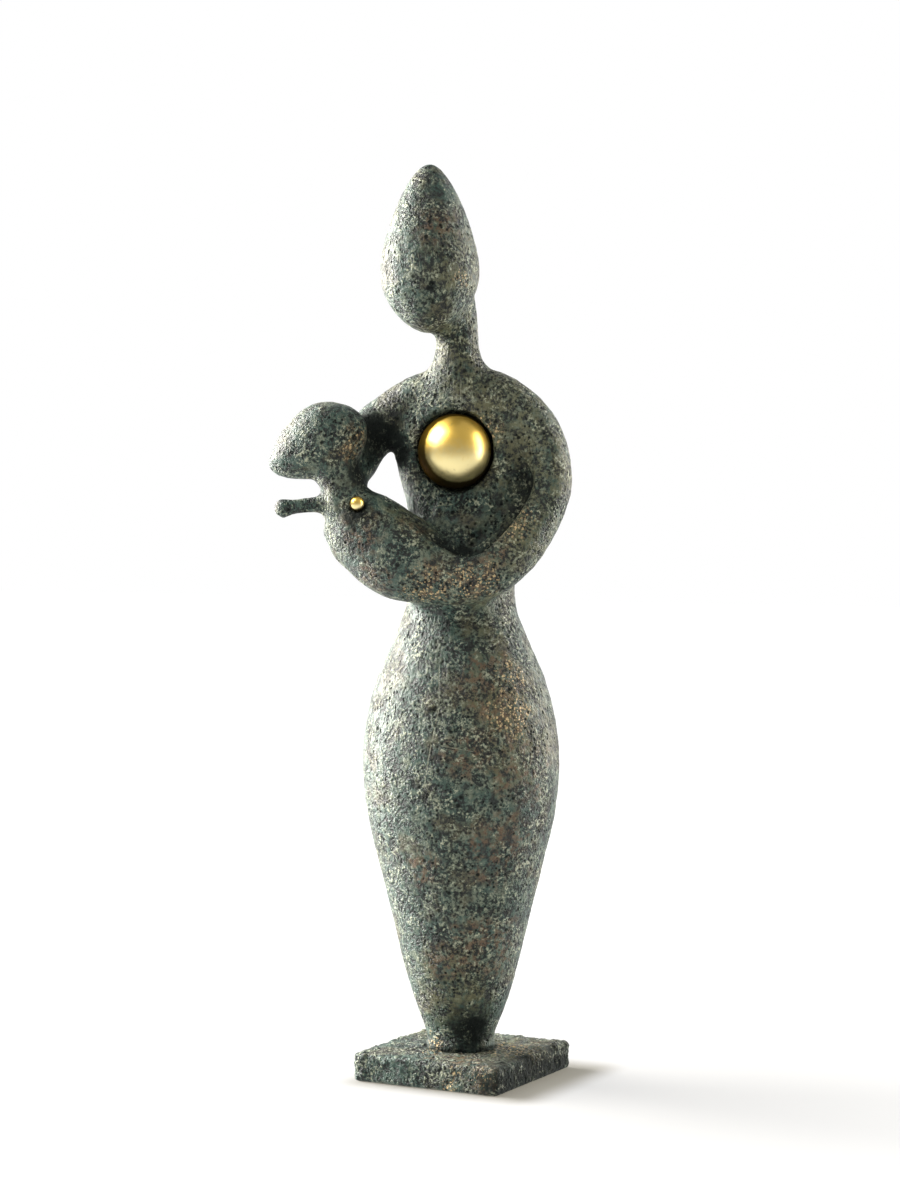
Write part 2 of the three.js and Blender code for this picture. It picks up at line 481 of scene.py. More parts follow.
def cut_crease(form, casting):
    """Cuts the crease at the left arm, steep at the arm, and stores the shade painted into it."""
    furthest = 12 * MM
    full_shade_depth = 2.4 * MM
    belly_ease = 1.6
    route = through_points([Vector(point) * MM for point in CREASE], 10)
    tree = KDTree(len(route))
    for number, spot in enumerate(route):
        tree.insert(spot.xyz, number)
    tree.balance()
    belly = centre_and_radius("chest_ball")[0]
    painted_shade = form.verts.layers.float.new("painted_shade")
    form.normal_update()
    for vert in form.verts:
        spot, number, away = tree.find(vert.co)
        if away > furthest:
            continue
        ease = belly_ease if (vert.co - spot).dot(belly - spot) > 0 else 1
        cut = math.exp(-((away / (casting.crease_width * ease)) ** 2))
        shade = math.exp(-((away / (casting.crease_shade * ease)) ** 2))
        depth = route[number].w
        vert.co -= vert.normal * depth * cut
        # Painted shade, stronger where the crease is cut deeper.
        vert[painted_shade] = shade * min(1, depth / full_shade_depth)


def seat_foot(form, casting):
    """Spreads the foot a little at its bottom and lets it into the plate."""
    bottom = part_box("figure")[0].z
    height = 4 * MM
    for vert in form.verts:
        share = (vert.co.z - bottom) / height
        if share < 1:
            near = (1 - max(0, share)) ** 2
            out = Vector((vert.co.x, vert.co.y, 0)).normalized()
            vert.co += out * casting.foot_flare * near
            vert.co.z -= casting.foot_sink * near


def sink_holes(form, holes):
    """Sinks small round blow holes into a form. Its own numbers are in radii of a hole."""
    form.normal_update()
    search = 6.6
    mouth_width = 1.6
    steepness = 1.6
    for x, y, z, radius, depth in holes:
        centre = Vector((x, y, z)) * MM
        near = [vert for vert in form.verts if (vert.co - centre).length < search * radius * MM]
        if not near:
            raise RuntimeError(f"no surface near the blow hole at {x}, {y}, {z} mm")
        mouth = min(near, key=lambda vert: (vert.co - centre).length).co.copy()
        for vert in near:
            away = (vert.co - mouth).length / (radius * MM)
            if away < mouth_width:
                vert.co -= vert.normal * depth * MM * math.exp(-steepness * away**2)


def clear_socket(form, node, play):
    """Pushes back the skin that lies closer to a ball than its play."""
    form.normal_update()
    centre, radius = centre_and_radius(node)
    push = 1.6
    for vert in form.verts:
        inside = radius + play - (vert.co - centre).length
        if inside > 0:
            vert.co -= vert.normal * push * inside


def mark_crevices(mesh, reach, neighbour):
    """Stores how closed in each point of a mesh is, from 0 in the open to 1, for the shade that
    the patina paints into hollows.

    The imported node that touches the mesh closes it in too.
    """
    form = opened(mesh)
    form.from_mesh(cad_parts[neighbour].data)
    tree = BVHTree.FromBMesh(form)
    form.free()
    form = opened(mesh)
    layer = form.verts.layers.float.new("crevice")
    rays = 16
    clearance = 0.4 * MM
    golden = math.pi * (3 - math.sqrt(5))
    dome = []
    for ray in range(rays):
        height = math.sqrt(1 - (ray + 0.5) / rays)
        flat = math.sqrt(1 - height**2)
        dome.append(Vector((
            flat * math.cos(ray * golden), flat * math.sin(ray * golden), height,
        )))
    for vert in form.verts:
        turn = vert.normal.to_track_quat("Z", "Y")
        start = vert.co + vert.normal * clearance
        occlusion_shade = 0.0
        for direction in dome:
            distance = tree.ray_cast(start, turn @ direction, reach)[3]
            if distance is not None:
                occlusion_shade += 1 - distance / reach
        vert[layer] = occlusion_shade / rays
    closed(form, mesh)


def finished(mesh, name, material, replaces):
    """Makes the mesh a piece of the statuette."""
    mesh.name = name
    mesh.materials.clear()
    mesh.materials.append(material)
    mesh.shade_smooth()
    piece = placed(name, mesh)
    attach(piece, BODY)
    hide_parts(replaces)
    return piece


# ---- shader nodes


def fill(tree, sockets, values):
    """Gives sockets a value or a link each, by name or by number."""
    for socket, value in values.items():
        if isinstance(value, bpy.types.NodeSocket):
            tree.links.new(value, sockets[socket])
        else:
            sockets[socket].default_value = value


def add(tree, kind, inputs=None, **values):
    """A new node with its settings, and with its input sockets filled."""
    node = tree.nodes.new(kind)
    for name, value in values.items():
        setattr(node, name, value)
    fill(tree, node.inputs, inputs or {})
    return node


def maths(tree, operation, *values, clamp=False):
    return add(
        tree, "ShaderNodeMath", dict(enumerate(values)), operation=operation, use_clamp=clamp,
    ).outputs[0]


def product(tree, first, second, clamp=False):
    return maths(tree, "MULTIPLY", first, second, clamp=clamp)


def strongest(tree, masks):
    """The strongest of several masks at each place."""
    top = masks[0]
    for mask in masks[1:]:
        top = maths(tree, "MAXIMUM", top, mask)
    return top


def vector_maths(tree, operation, *values):
    """A vector from a vector operation, or a number where it gives one."""
    node = add(tree, "ShaderNodeVectorMath", dict(enumerate(values)), operation=operation)
    single = operation in ("DOT_PRODUCT", "LENGTH", "DISTANCE")
    return node.outputs["Value" if single else "Vector"]


def scaled(tree, vector, amount):
    return add(
        tree, "ShaderNodeVectorMath", {0: vector, "Scale": amount}, operation="SCALE",
    ).outputs["Vector"]


def mixed(tree, amount, first, second):
    """Two colours mixed."""
    return add(
        tree, "ShaderNodeMix", {0: amount, 6: first, 7: second}, data_type="RGBA",
    ).outputs[2]


def spread(tree, value, low, high, bottom=0.0, top=1.0):
    """Spreads the stretch from low to high over the stretch from bottom to top."""
    return add(
        tree, "ShaderNodeMapRange",
        {"Value": value, "From Min": low, "From Max": high, "To Min": bottom, "To Max": top},
        interpolation_type="SMOOTHSTEP",
    ).outputs["Result"]


def noise_value(tree, vector, size, detail=2.0, roughness=0.5):
    return add(
        tree, "ShaderNodeTexNoise",
        {"Vector": vector, "Scale": 1 / size, "Detail": detail, "Roughness": roughness},
    ).outputs["Fac"]


def scattered(tree, vector, gap, core, edge, empty, soft):
    """Round blots at random: gap is their spacing, core and edge their radii as parts of it.

    empty is the share of places without one.
    """
    cell = add(tree, "ShaderNodeTexVoronoi", {"Vector": vector, "Scale": 1 / gap}, feature="F1")
    chance = add(tree, "ShaderNodeSeparateColor", {0: cell.outputs["Color"]}).outputs[0]
    blot = spread(tree, cell.outputs["Distance"], edge, core)
    return product(tree, blot, spread(tree, chance, empty, empty + soft))


def stored(tree, name):
    """A value that the mesh holds at each of its points."""
    return add(tree, "ShaderNodeAttribute", attribute_name=name).outputs["Fac"]


def rgba(value):
    return (*value, 1.0)


def new_group(name, inputs, outputs):
    """An empty shader group: inputs are name, kind and default, outputs name and kind."""
    tree = bpy.data.node_groups.new(name, "ShaderNodeTree")
    for label, kind, default in inputs:
        socket = tree.interface.new_socket(label, in_out="INPUT", socket_type=kind)
        if default is not None:
            socket.default_value = default
    for label, kind in outputs:
        tree.interface.new_socket(label, in_out="OUTPUT", socket_type=kind)
    start = tree.nodes.new("NodeGroupInput").outputs
    end = tree.nodes.new("NodeGroupOutput").inputs
    return tree, start, end


FLOAT, VECTOR, COLOUR = "NodeSocketFloat", "NodeSocketVector", "NodeSocketColor"


def patch_group():
    """A soft round patch: 1 at its centre and 0 past its reach, with a ragged edge."""
    tree, start, end = new_group(
        "Patch",
        [("Vector", VECTOR, None), ("Centre", VECTOR, (0, 0, 0)), ("Reach", FLOAT, 0.01),
         ("Ragged", FLOAT, 0.5)],
        [("Mask", FLOAT)],
    )
    away = vector_maths(tree, "DISTANCE", start["Vector"], start["Centre"])
    share = maths(tree, "DIVIDE", away, start["Reach"])
    ragged = maths(tree, "ADD", share, start["Ragged"])
    tree.links.new(spread(tree, ragged, 1.15, 0.35), end["Mask"])
    return tree


def scratch_group():
    """One fine scratch that runs from its start to its end on a skin that faces Facing."""
    tree, start, end = new_group(
        "Scratch",
        [("Vector", VECTOR, None), ("Start", VECTOR, (0, 0, 0)), ("End", VECTOR, (0, 0, 1)),
         ("Facing", VECTOR, (0, -1, 0)), ("Width", FLOAT, 0.0003), ("Wander", FLOAT, 0.0)],
        [("Mask", FLOAT)],
    )
    facing = vector_maths(tree, "NORMALIZE", start["Facing"])

    def laid_flat(vector):
        depth = vector_maths(tree, "DOT_PRODUCT", vector, facing)
        return vector_maths(tree, "SUBTRACT", vector, scaled(tree, facing, depth)), depth

    run, _ = laid_flat(vector_maths(tree, "SUBTRACT", start["End"], start["Start"]))
    place, depth = laid_flat(vector_maths(tree, "SUBTRACT", start["Vector"], start["Start"]))
    along = maths(
        tree, "DIVIDE", vector_maths(tree, "DOT_PRODUCT", place, run),
        vector_maths(tree, "DOT_PRODUCT", run, run), clamp=True,
    )
    foot = scaled(tree, run, along)
    off = vector_maths(tree, "DISTANCE", place, foot)
    off = maths(tree, "ABSOLUTE", maths(tree, "MULTIPLY_ADD", start["Wander"], 0.4 * MM, off))
    line = spread(tree, maths(tree, "DIVIDE", off, start["Width"]), 1.0, 0.35)
    ends = product(tree, along, maths(tree, "SUBTRACT", 1.0, along))
    line = product(tree, line, spread(tree, ends, 0.0, 0.05))
    near = spread(tree, maths(tree, "ABSOLUTE", depth), 6 * MM, 4 * MM)
    tree.links.new(product(tree, line, near), end["Mask"])
    return tree


def skin_group():
    """The sand-cast skin: height, grain, mottle, pinholes and scratches of a cast bronze."""
    tree, start, end = new_group(
        "Cast skin",
        [("Vector", VECTOR, None), ("Grain Height", FLOAT, 1.0), ("Pinholes", FLOAT, 1.0),
         ("Scratches", FLOAT, 1.0)],
        [("Height", FLOAT), ("Grain", FLOAT), ("Mottle", FLOAT), ("Pinholes", FLOAT),
         ("Scratches", FLOAT)],
    )
    place = start["Vector"]
    fine = maths(tree, "SUBTRACT", noise_value(tree, place, 1.0 * MM, 2.0, 0.7), 0.5)
    coarse = maths(tree, "SUBTRACT", noise_value(tree, place, 3.0 * MM, 3.0, 0.65), 0.5)
    zone = spread(tree, noise_value(tree, place, 7 * MM, 2.0, 0.6), 0.38, 0.62, 0.35, 1.25)
    grain = maths(tree, "MULTIPLY_ADD", fine, zone, 0.5)
    grain = maths(tree, "MULTIPLY_ADD", coarse, 0.5, grain)
    holes = strongest(tree, [
        scattered(tree, place, gap, 0.4 * radius, radius, empty, 0.04)
        for gap, radius, empty in ((1.5 * MM, 0.38, 0.56), (3.4 * MM, 0.26, 0.53))
    ])
    crowd = spread(tree, noise_value(tree, place, 11 * MM, 1.0), 0.30, 0.55)
    holes = product(tree, product(tree, holes, crowd), start["Pinholes"])
    lines = []
    for turn, seed in ((0.12, 0.0), (0.7, 3.1), (-0.45, 5.7)):
        laid = add(
            tree, "ShaderNodeMapping",
            {"Vector": place, "Location": (seed, seed, 0),
             "Rotation": (turn, turn * 0.6, turn), "Scale": (1, 1, 0.08)},
        ).outputs["Vector"]
        streak = noise_value(tree, laid, 0.42 * MM, 0.0)
        lines.append(spread(tree, streak, 0.72, 0.82))
    scratches = product(tree, strongest(tree, lines), start["Scratches"])
    height = product(tree, grain, start["Grain Height"])
    height = maths(tree, "MULTIPLY_ADD", holes, -0.5, height)
    height = maths(tree, "MULTIPLY_ADD", scratches, -0.08, height)
    broad = noise_value(tree, place, 5 * MM, 3.0, 0.65)
    slow = noise_value(tree, place, 18 * MM, 2.0, 0.5)
    mottle = maths(tree, "MULTIPLY_ADD", broad, 0.9, maths(tree, "MULTIPLY_ADD", slow, 0.4, -0.15))
    fill(tree, end, {
        "Height": height, "Grain": grain, "Mottle": mottle, "Pinholes": holes,
        "Scratches": scratches,
    })
    return tree


# Masks of the olive and rust stains, the rubbed gilt, and last the painted shade.
STAIN_AND_SHADE_MASKS = ("Olive Mask", "Rust Mask", "Gilt Mask", "Painted Shade Mask")
PATINA_COLOURS = ("Ground", "Green", "Brown", "Worn", "Pale", "Olive", "Rust", "Gilt")


def patina_group():
    """Blue green over a dark ground, worn and crusted, with olive and rust stains, rubbed bare,
    and darkened by painted shade.
    """
    tree, start, end = new_group(
        "Patina",
        [("Vector", VECTOR, None), ("Grain", FLOAT, 0.5), ("Mottle", FLOAT, 0.5),
         ("Pinholes", FLOAT, 0.0), ("Scratches", FLOAT, 0.0), ("Crevice", FLOAT, 0.0),
         ("Wear And Painted Shade", FLOAT, 1.0), ("Roughness", FLOAT, 0.45),
         *((stain, FLOAT, 0.0) for stain in STAIN_AND_SHADE_MASKS),
         *((name, COLOUR, (0, 0, 0, 1)) for name in PATINA_COLOURS)],
        [("Color", COLOUR), ("Roughness", FLOAT), ("Metallic", FLOAT)],
    )
    place = start["Vector"]
    grain = start["Grain"]
    tone = maths(tree, "MULTIPLY_ADD", start["Mottle"], 0.5, product(tree, grain, 0.5))
    # Where this input is low, painted shade darkens the tone here and thins the pale crust below.
    rest = maths(tree, "SUBTRACT", start["Wear And Painted Shade"], 1.0)
    tone = maths(tree, "MULTIPLY_ADD", rest, 0.08, tone)
    hue = noise_value(tree, place, 13 * MM, 3.0, 0.6)
    body = mixed(tree, spread(tree, hue, 0.50, 0.62), start["Green"], start["Brown"])
    skin = mixed(tree, spread(tree, tone, 0.40, 0.49), start["Ground"], body)
    skin = mixed(tree, spread(tree, tone, 0.49, 0.60), skin, start["Worn"])
    blot = noise_value(tree, place, 3.2 * MM, 4.0, 0.7)
    stain = product(tree, spread(tree, blot, 0.34, 0.58), 0.85)
    olive_amount = product(tree, start["Olive Mask"], stain, clamp=True)
    skin = mixed(tree, olive_amount, skin, start["Olive"])
    rust_stain = spread(tree, noise_value(tree, place, 2.4 * MM, 4.0, 0.7), 0.44, 0.60)
    rust_amount = product(tree, start["Rust Mask"], rust_stain, clamp=True)
    skin = mixed(tree, product(tree, rust_amount, 0.8), skin, start["Rust"])
    hollow = spread(tree, grain, 0.52, 0.40)
    skin = mixed(tree, product(tree, hollow, 0.95), skin, start["Ground"])
    crusted = spread(tree, noise_value(tree, place, 8 * MM, 3.0, 0.6), 0.42, 0.62, 0.15, 0.9)
    crusted = product(tree, crusted, start["Wear And Painted Shade"])
    crust = product(tree, spread(tree, grain, 0.56, 0.66), crusted)
    skin = mixed(tree, crust, skin, start["Pale"])
    skin = mixed(tree, product(tree, start["Scratches"], 0.35), skin, start["Pale"])
    crumbs = []
    for gap in (1.2 * MM, 0.7 * MM):
        bend = add(tree, "ShaderNodeTexNoise", {"Vector": place, "Scale": 1 / gap})
        bent = vector_maths(tree, "ADD", place, scaled(tree, bend.outputs["Color"], 0.9 * gap))
        crumbs.append(scattered(tree, bent, gap, 0.28, 0.46, 0.56, 0.1))
    gilt_amount = product(tree, start["Gilt Mask"], strongest(tree, crumbs), clamp=True)
    skin = mixed(tree, gilt_amount, skin, start["Gilt"])
    # Painted shade: hollows and corners darken towards the ground by how closed in they are.
    occlusion_shade = product(tree, spread(tree, start["Crevice"], 0.14, 0.50), 0.96)
    # Painted shade is lighter on the high grain.
    painted_shade_strength = spread(tree, grain, 0.68, 0.54, 0.62, 0.98)
    # Painted shade from hollows and from the painted shade mask, with the dark pinholes, takes the
    # patina to its ground.
    painted_shade = strongest(tree, [
        occlusion_shade, product(tree, start["Pinholes"], 0.95), product(tree, start["Painted Shade Mask"], painted_shade_strength),
    ])
    skin = mixed(tree, painted_shade, skin, start["Ground"])
    rough = maths(tree, "MULTIPLY_ADD", grain, -0.3, maths(tree, "ADD", start["Roughness"], 0.15))
    metallic = strongest(tree, [
        product(tree, gilt_amount, 0.4), product(tree, painted_shade, 0.65), product(tree, hollow, 0.25),
    ])
    fill(tree, end, {
        "Color": skin, "Metallic": metallic,
        "Roughness": maths(tree, "MULTIPLY_ADD", painted_shade, 0.3, rough, clamp=True),
    })
    return tree


def placed_group(tree, name, maker, inputs):
    """One of the shared groups with its own values and links."""
    group = bpy.data.node_groups.get(name) or maker()
    return add(tree, "ShaderNodeGroup", inputs, node_tree=group).outputs


def patch_mask(tree, place, patches, ragged):
    return strongest(tree, [
        placed_group(tree, "Patch", patch_group, {
            "Vector": place, "Centre": (x * MM, y * MM, z * MM), "Reach": reach * MM,
            "Ragged": ragged,
        })["Mask"]
        for x, y, z, reach in patches
    ])


def scratch_mask(tree, place, scratches, wander):
    return strongest(tree, [
        placed_group(tree, "Scratch", scratch_group, {
            "Vector": place, "Start": Vector(start) * MM, "End": Vector(end) * MM,
            "Facing": facing, "Width": width * MM, "Wander": wander,
        })["Mask"]
        for start, end, facing, width in scratches
    ])


def new_material(name):
    material = bpy.data.materials.new(name)
    material.use_nodes = True
    tree = material.node_tree
    return material, tree, tree.nodes["Principled BSDF"]


def bronze(name, patina, marks, back=None, grain_height=1.0, pits=(), scratches=(), scratched=()):
    """Patinated cast bronze. marks holds the olive, rust, gilt and painted shade patches.

    back is the way that a side faces which gets painted shade: a darker tone and less pale crust.
    """
    material, tree, shader = new_material(name)
    where = add(tree, "ShaderNodeTexCoord").outputs
    place = where["Object"]
    ragged = maths(tree, "SUBTRACT", noise_value(tree, place, 7 * MM, 3.0, 0.6), 0.5)
    ragged = product(tree, ragged, 1.6)
    scuffs = 0.15
    if scratched:
        scuffs = maths(tree, "ADD", patch_mask(tree, place, scratched, ragged), 0.1)
    skin = placed_group(tree, "Cast skin", skin_group, {
        "Vector": place, "Grain Height": grain_height, "Pinholes": 1.0, "Scratches": scuffs,
    })
    holes, lines, height = skin["Pinholes"], skin["Scratches"], skin["Height"]
    if pits:
        sunk = patch_mask(tree, place, pits, ragged)
        holes = maths(tree, "MAXIMUM", holes, sunk)
        height = maths(tree, "MULTIPLY_ADD", sunk, -0.7, height)
    if scratches:
        wander = maths(tree, "SUBTRACT", noise_value(tree, place, 2 * MM, 2.0), 0.5)
        line = scratch_mask(tree, place, scratches, wander)
        lines = maths(tree, "MAXIMUM", lines, line)
        height = maths(tree, "MULTIPLY_ADD", line, -0.15, height)
    inputs = {
        "Vector": place, "Grain": skin["Grain"], "Mottle": skin["Mottle"],
        "Pinholes": holes, "Scratches": lines, "Roughness": patina.gloss,
        "Crevice": stored(tree, "crevice"),
    }
    if back:
        # Painted shade on the side that faces back, fading towards the sides.
        behind = vector_maths(tree, "DOT_PRODUCT", where["Normal"], back)
        inputs["Wear And Painted Shade"] = spread(tree, behind, 0.05, 0.75, 1.0, 0.15)
    for stain, patches in zip(STAIN_AND_SHADE_MASKS, marks):
        inputs[stain] = patch_mask(tree, place, patches, ragged)
    # The painted shade mask also takes the shade stored along the crease.
    inputs["Painted Shade Mask"] = maths(tree, "MAXIMUM", inputs["Painted Shade Mask"], stored(tree, "painted_shade"))
    for name in PATINA_COLOURS:
        inputs[name] = rgba(getattr(patina, name.lower()))
    coat = placed_group(tree, "Patina", patina_group, inputs)
    bump = add(tree, "ShaderNodeBump", {"Strength": 1.0, "Distance": 1.4 * MM, "Height": height})
    fill(tree, shader.inputs, {
        "Base Color": coat["Color"], "Roughness": coat["Roughness"],
        "Metallic": coat["Metallic"], "Normal": bump.outputs["Normal"], "IOR": 1.5,
    })
    return material


def polished_brass(name, brass):
    """Polished brass, paler low down as a painted reflection of the floor and brown at its socket
    and rim as a painted dark reflection, with smears, brown spots and fine marks.
    """
    material, tree, shader = new_material(name)
    place = add(tree, "ShaderNodeTexCoord").outputs["Object"]
    skin = placed_group(tree, "Cast skin", skin_group, {
        "Vector": place, "Grain Height": 0.4, "Pinholes": 0.35, "Scratches": 0.6,
    })
    smear = noise_value(tree, place, 3.2 * MM, 3.0, 0.6)
    # Painted reflection: paler brass low on the sphere, broken up by smears.
    lift = maths(tree, "SUBTRACT", stored(tree, "lift"), 0.25)
    floor_reflection_and_smears = maths(tree, "MULTIPLY_ADD", smear, 0.5, lift)
    metal = mixed(tree, spread(tree, floor_reflection_and_smears, -0.35, 0.4), rgba(brass.worn), rgba(brass.brass))
    # Painted dark reflection at the socket and past the cap, broken up by smears.
    seat = maths(tree, "SUBTRACT", stored(tree, "seat"), 0.25)
    smeared_rim_reflection = maths(tree, "MULTIPLY_ADD", smear, 0.5, seat)
    rim_reflection_and_tarnish = product(tree, spread(tree, smeared_rim_reflection, 0.2, 0.8), 0.97)
    spots = product(tree, spread(tree, smear, 0.58, 0.75), 0.25)
    shade = mixed(tree, maths(tree, "MAXIMUM", rim_reflection_and_tarnish, spots), metal, rgba(brass.rim_reflection_and_tarnish))
    rough = maths(tree, "MULTIPLY_ADD", smear, 0.1, brass.polish - 0.1)
    rough = maths(tree, "MULTIPLY_ADD", skin["Grain"], 0.12, rough)
    bump = add(
        tree, "ShaderNodeBump",
        {"Strength": 0.6, "Distance": 0.09 * MM, "Height": skin["Height"]},
    )
    fill(tree, shader.inputs, {
        "Base Color": shade, "Metallic": 1.0, "Normal": bump.outputs["Normal"],
        "Roughness": maths(tree, "MULTIPLY_ADD", rim_reflection_and_tarnish, 0.2, rough),
        "Specular Tint": (0.5, 0.4, 0.22, 1.0),
        "Coat Weight": maths(tree, "MULTIPLY_ADD", rim_reflection_and_tarnish, -0.7, 0.7, clamp=True),
        "Coat Roughness": 0.32, "Coat IOR": 1.9,
    })
    return material


def plain_floor(name, stage):
    """A matt pale sheet that looks evenly white away from the figure.

    As light and in reflections it fades to the level of the room.
    """
    material, tree, shader = new_material(name)
    place = add(tree, "ShaderNodeTexCoord").outputs["Object"]
    cloud = noise_value(tree, place, 60 * MM, 2.0)
    deeper = tuple(0.97 * part for part in stage.floor)
    shadow_shift = (6 * MM, 2 * MM, 0)
    shadow_width = 14 * MM
    shaded = vector_maths(tree, "ABSOLUTE", vector_maths(tree, "SUBTRACT", place, shadow_shift))
    beyond = vector_maths(tree, "SUBTRACT", shaded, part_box("base_plate")[1])
    beyond = vector_maths(tree, "LENGTH", vector_maths(tree, "MAXIMUM", beyond, (0, 0, 0)))
    # Painted shadow: the floor's glow drops and turns warm towards the plate's edge, more on its
    # right.
    near = mixed(
        tree, spread(tree, beyond, 0.0, shadow_width),
        rgba([stage.edge_glow * part for part in (1.1, 1.0, 0.75)]),
        rgba([stage.near_glow] * 3),
    )
    away = vector_maths(tree, "LENGTH", place)
    seen = mixed(tree, spread(tree, away, 0.06, 0.4), near, rgba([stage.glow] * 3))
    cast = mixed(
        tree, spread(tree, away, 0.3, 1.2),
        rgba([stage.bounce] * 3), rgba([stage.sky] * 3),
    )
    eye = add(tree, "ShaderNodeLightPath").outputs["Is Camera Ray"]
    fill(tree, shader.inputs, {
        "Base Color": mixed(tree, cloud, rgba(deeper), rgba(stage.floor)),
        "Emission Color": mixed(tree, eye, cast, seen), "Emission Strength": 1.0,
        "Roughness": 0.9, "Specular IOR Level": 0.1,
    })
    return material


# ---- operators


def centre_and_radius(node):
    low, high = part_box(node)
    return (low + high) / 2, (high.z - low.z) / 2


class STATUETTE_OT_figure(Operator):
    """Model the mother and child in one casting, with open sockets for the spheres"""

    bl_idname = "statuette.figure"
    bl_label = "Mother and Child"
    bl_options = {"REGISTER", "UNDO"}

    def execute(self, context):
        casting = context.scene.statuette_casting
        coarse = 0.9 * MM
        hollows = [(Vector((x, y, z)) * MM, reach * MM) for x, y, z, reach in CRISP_HOLLOWS]
        fade = 7 * MM

        def reach(point):
            full = min(
                smoothstep((point - hollow).length, near, near + fade)
                for hollow, near in hollows
            )
            return casting.crisp_fillet + (casting.fillet - casting.crisp_fillet) * full

        mesh = remeshed(merged_copy("figure"), coarse)
        mesh = remeshed(grown(mesh, reach), coarse)
        mesh = remeshed(grown(mesh, lambda point: -reach(point)), casting.step)
        form = opened(mesh)
        smooth(form, casting.passes)
        cut_crease(form, casting)
        form.normal_update()
        move_out(form, lambda point: skin_relief(point, casting))
        sink_holes(form, BLOW_HOLES)
        seat_foot(form, casting)
        clear_socket(form, "child_ball", 0.5 * MM)
        closed(form, mesh)
        mark_crevices(mesh, casting.crevice_reach, "base_plate")
        marks = (OLIVE_PATCHES, RUST_PATCHES, GILT_PATCHES, PAINTED_SHADE_PATCHES)
        # The side that faces away from the camera gets painted shade.
        material = bronze(
            "Patinated bronze", context.scene.statuette_patina, marks, back=(-0.48, 0.88, 0),
            pits=PITS, scratches=SCRATCHES, scratched=SCRATCHED_PATCHES,
        )
        finished(mesh, "mother_and_child", material, "figure")
        return {"FINISHED"}


class STATUETTE_OT_plate(Operator):
    """Model the square plate that the foot stands on"""

    bl_idname = "statuette.plate"
    bl_label = "Plate"
    bl_options = {"REGISTER", "UNDO"}

    def execute(self, context):
        casting = context.scene.statuette_casting
        low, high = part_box("base_plate")
        step = 0.5 * MM
        passes = 6
        smooth_height = 1.0 * MM

        def reach(point):
            share = min(1, max(0, point.z - low.z) / smooth_height)
            return chipped_relief(point, casting) * share

        form = bmesh.new()
        bmesh.ops.create_cube(form, size=1.0)
        bmesh.ops.scale(form, vec=high - low, verts=form.verts)
        bmesh.ops.translate(form, vec=(high + low) / 2, verts=form.verts)
        upright = [
            edge for edge in form.edges
            if abs(edge.verts[0].co.z - edge.verts[1].co.z) > 1 * MM
        ]
        bmesh.ops.bevel(
            form, geom=upright, offset=casting.corner, offset_type="OFFSET",
            affect="EDGES", segments=4, profile=0.5, material=-1,
        )
        level = [
            edge for edge in form.edges
            if abs(edge.verts[0].co.z - edge.verts[1].co.z) < 1e-6
            and len({round(face.normal.z) for face in edge.link_faces}) == 2
        ]
        bmesh.ops.bevel(
            form, geom=level, offset=casting.rim, offset_type="OFFSET",
            affect="EDGES", segments=3, profile=0.5, material=-1,
        )
        mesh = remeshed(closed(form, bpy.data.meshes.new("plate")), step)
        # Without a seed of its own the vector noise starts from the clock.
        noise.seed_set(1)
        form = opened(mesh)
        smooth(form, passes)
        form.normal_update()
        move_out(form, reach)
        closed(form, mesh)
        mark_crevices(mesh, casting.crevice_reach, "figure")
        marks = (
            PLATE_OLIVE_PATCHES, PLATE_RUST_PATCHES, PLATE_GILT_PATCHES, PLATE_PAINTED_SHADE_PATCHES,
        )
        material = bronze(
            "Patinated bronze plate", context.scene.statuette_patina, marks,
            grain_height=1.5,
        )
        finished(mesh, "plate", material, "base_plate")
        return {"FINISHED"}


class STATUETTE_OT_spheres(Operator):
    """Model the two polished brass spheres"""

    bl_idname = "statuette.spheres"
    bl_label = "Brass Spheres"
    bl_options = {"REGISTER", "UNDO"}

    def execute(self, context):
        brass = context.scene.statuette_brass
        material = polished_brass("Polished brass", brass)
        socket = BVHTree.FromPolygons(*skin_of("figure"))
        pole = Vector(brass.pole).normalized()
        fade = math.radians(11)
        for name, node, fineness in (
            ("chest_sphere", "chest_ball", 6),
            ("child_sphere", "child_ball", 5),
        ):
            centre, radius = centre_and_radius(node)
            form = bmesh.new()
            bmesh.ops.create_icosphere(form, subdivisions=fineness, radius=radius)
            bmesh.ops.translate(form, vec=centre, verts=form.verts)
            lift = form.verts.layers.float.new("lift")
            seat = form.verts.layers.float.new("seat")
            for vert in form.verts:
                # Height on the sphere, for the painted floor reflection low down.
                vert[lift] = (vert.co.z - centre.z) / radius
                # Painted dark reflection near the socket wall and past the cap from the pole.
                gap = socket.find_nearest(vert.co)[3]
                turn = (vert.co - centre).angle(pole)
                vert[seat] = max(
                    1 - min(1, gap / brass.socket_reflection_reach),
                    smoothstep(turn, brass.cap - fade, brass.cap + fade),
                )
                dent = noise.noise(vert.co / brass.dent_size)
                vert.co -= vert.normal * brass.dent_depth * max(0.0, 0.5 + dent)
            mesh = closed(form, bpy.data.meshes.new(name))
            sphere = finished(mesh, name, material, node)
            link_lights(sphere, FIGURE_LIGHTS, "EXCLUDE")
            link_lights(sphere, SPHERE_LIGHTS, "INCLUDE")
        return {"FINISHED"}


def link_lights(piece, lights, state):
    """Keeps lights off a piece, with state EXCLUDE, or for such pieces only, with INCLUDE."""
    for name in lights:
        light = bpy.data.objects.get(name)
        if light is None:
            continue
        group = light.light_linking.receiver_collection
        if group is None:
            group = bpy.data.collections.new("linked to the " + name)
            light.light_linking.receiver_collection = group
        group.objects.link(piece)
        for linked in group.collection_objects:
            linked.light_linking.link_state = state


